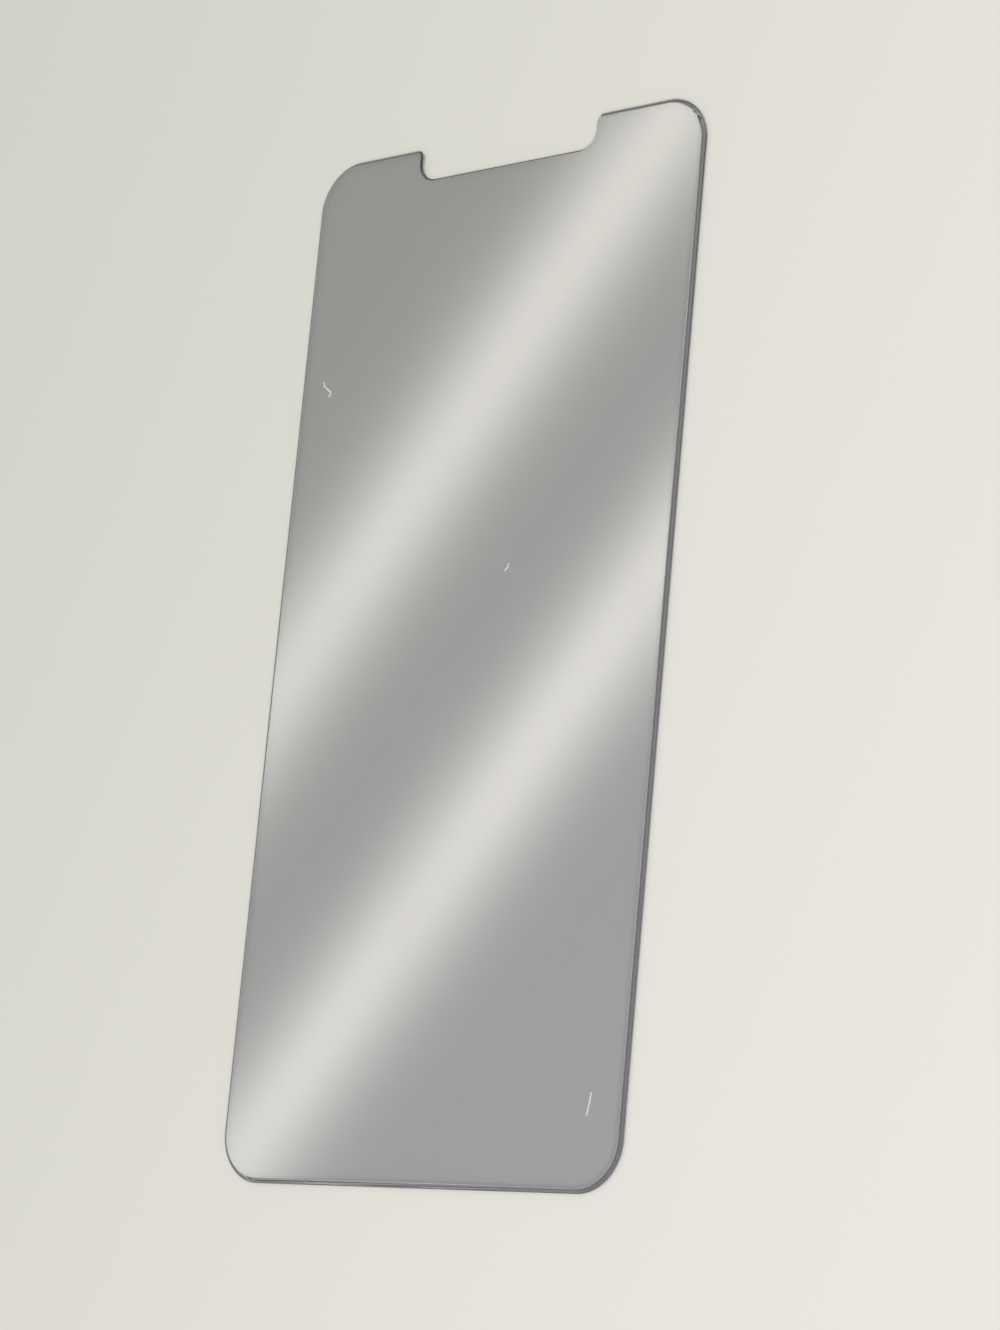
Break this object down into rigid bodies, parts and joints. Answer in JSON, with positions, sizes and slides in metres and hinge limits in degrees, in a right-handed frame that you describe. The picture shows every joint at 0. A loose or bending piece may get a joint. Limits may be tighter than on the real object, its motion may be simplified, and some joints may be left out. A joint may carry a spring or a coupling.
{
  "type": "phone screen protector",
  "caption": "Thin clear glass pane with rounded corners, a wide shallow notch in its upper end and a polished curve round its front edge.",
  "frame": {"origin": "centre of the flat back face, which is the adhesive side, in the middle of the pane's width and length", "axes": "+X across the pane to the right as seen from the front, +Y along the pane to the notched upper end, +Z out of the front face"},
  "size_m": [0.0656, 0.1384, 0.0006],
  "materials": {
    "clear_glass": "polished on both faces and round the front edge, lightly satin on the ground rim"
  },
  "bodies": {
    "root": {"glass_pane": "clear_glass"}
  },
  "joints": []
}
